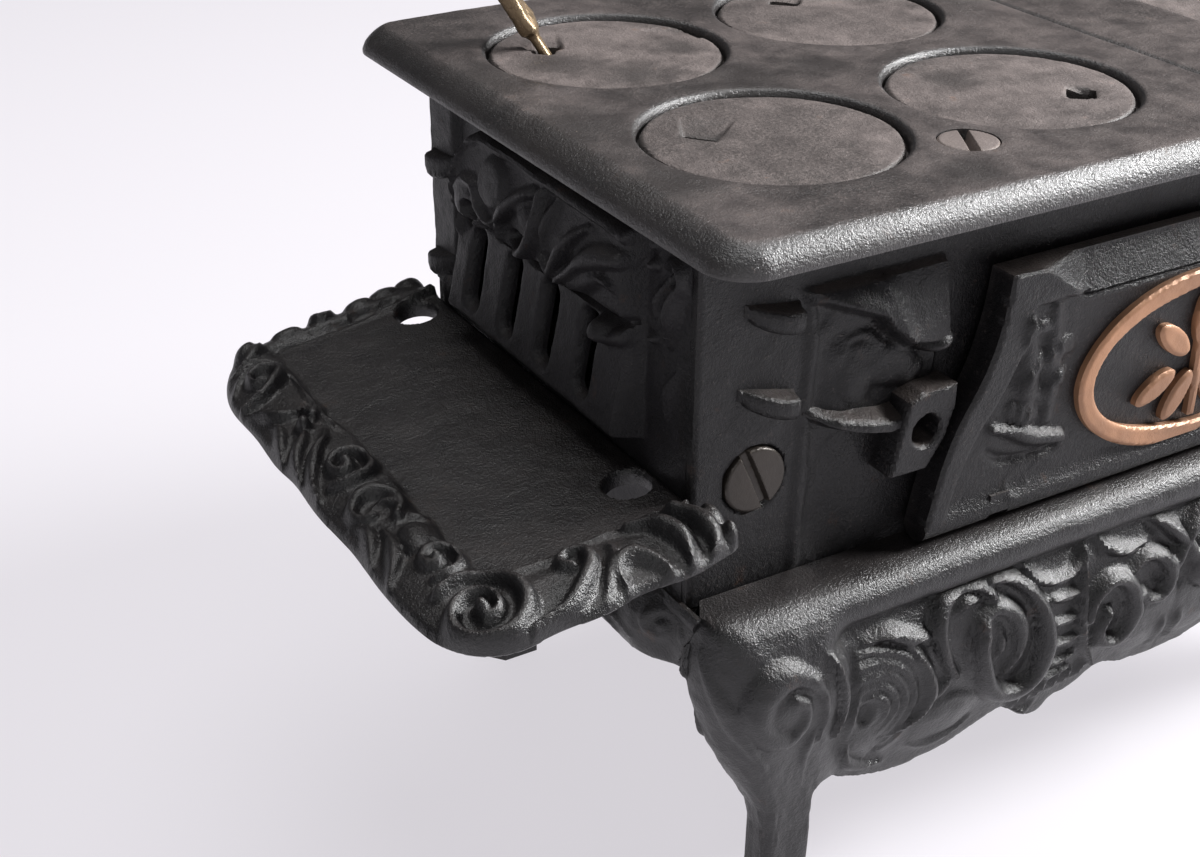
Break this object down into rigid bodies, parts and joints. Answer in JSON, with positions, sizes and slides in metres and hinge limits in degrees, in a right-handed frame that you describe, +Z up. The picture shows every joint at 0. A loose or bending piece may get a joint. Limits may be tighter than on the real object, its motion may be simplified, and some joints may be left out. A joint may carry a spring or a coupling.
{
  "type": "toy cast-iron cook range",
  "caption": "Toy cast-iron kitchen range with lift-out burner lids, a lid lifter, a drop-down oven door, an ornate side shelf and scalloped legs.",
  "frame": {"origin": "on the floor under the middle of the whole model's box, side shelf included", "axes": "+Z up, +Y to the stove's back, +X to its right; the oven door faces -Y"},
  "size_m": [0.277, 0.1386, 0.2024],
  "materials": {
    "black_casting": "sand-cast iron under thin worn black paint",
    "worn_lid": "bare worn iron, paint burnt off, light rust",
    "sooty_iron": "raw iron, sooty",
    "bolt_steel": "aged steel with brown film",
    "lifter_metal": "worn plated cast metal"
  },
  "bodies": {
    "stove": {"burner_plate": "black_casting", "warming_plate": "black_casting", "front_panel": "black_casting", "back_panel": "black_casting", "left_side_panel": "black_casting", "right_side_panel": "black_casting", "bottom_plate": "black_casting", "oven_left_wall": "sooty_iron", "oven_right_wall": "sooty_iron", "oven_back_wall": "sooty_iron", "oven_roof": "sooty_iron", "oven_rack": "sooty_iron", "fire_grate": "sooty_iron", "door_hinge_pins": "bolt_steel", "base_front": "black_casting", "base_back": "black_casting", "base_left_skirt": "black_casting", "base_right_skirt": "black_casting", "side_shelf": "black_casting", "top_tie_bolts": "bolt_steel", "tie_nuts": "bolt_steel", "column_bolts": "bolt_steel", "column_nuts": "bolt_steel", "flue_collar": "black_casting"},
    "lid_front_left": {"lid_front_left": "worn_lid"},
    "lid_front_right": {"lid_front_right": "worn_lid"},
    "lid_back_left": {"lid_back_left": "worn_lid"},
    "lid_back_right": {"lid_back_right": "worn_lid"},
    "warming_cover": {"warming_cover": "worn_lid"},
    "oven_door": {"oven_door": "black_casting"},
    "lid_lifter": {"lid_lifter": "lifter_metal"}
  },
  "joints": [
    {"name": "lid_front_left_lift", "type": "slide", "parent": "stove", "child": "lid_front_left", "axis": [0, 0, 1], "range_m": [0, 0.06]},
    {"name": "lid_front_right_lift", "type": "slide", "parent": "stove", "child": "lid_front_right", "axis": [0, 0, 1], "range_m": [0, 0.06]},
    {"name": "lid_back_left_lift", "type": "slide", "parent": "stove", "child": "lid_back_left", "axis": [0, 0, 1], "range_m": [0, 0.06]},
    {"name": "lid_back_right_lift", "type": "slide", "parent": "stove", "child": "lid_back_right", "axis": [0, 0, 1], "range_m": [0, 0.06]},
    {"name": "warming_cover_lift", "type": "slide", "parent": "stove", "child": "warming_cover", "axis": [0, 0, 1], "range_m": [0, 0.06]},
    {"name": "lifter_pull", "type": "slide", "parent": "lid_back_left", "child": "lid_lifter", "axis": [-0.4211, 0.3609, 0.8321], "range_m": [0, 0.03]},
    {"name": "oven_door_drop", "type": "hinge", "parent": "stove", "child": "oven_door", "pos_m": [0.02149, -0.05605, 0.0816], "axis": [1, 0, 0], "range_deg": [0, 90]}
  ]
}
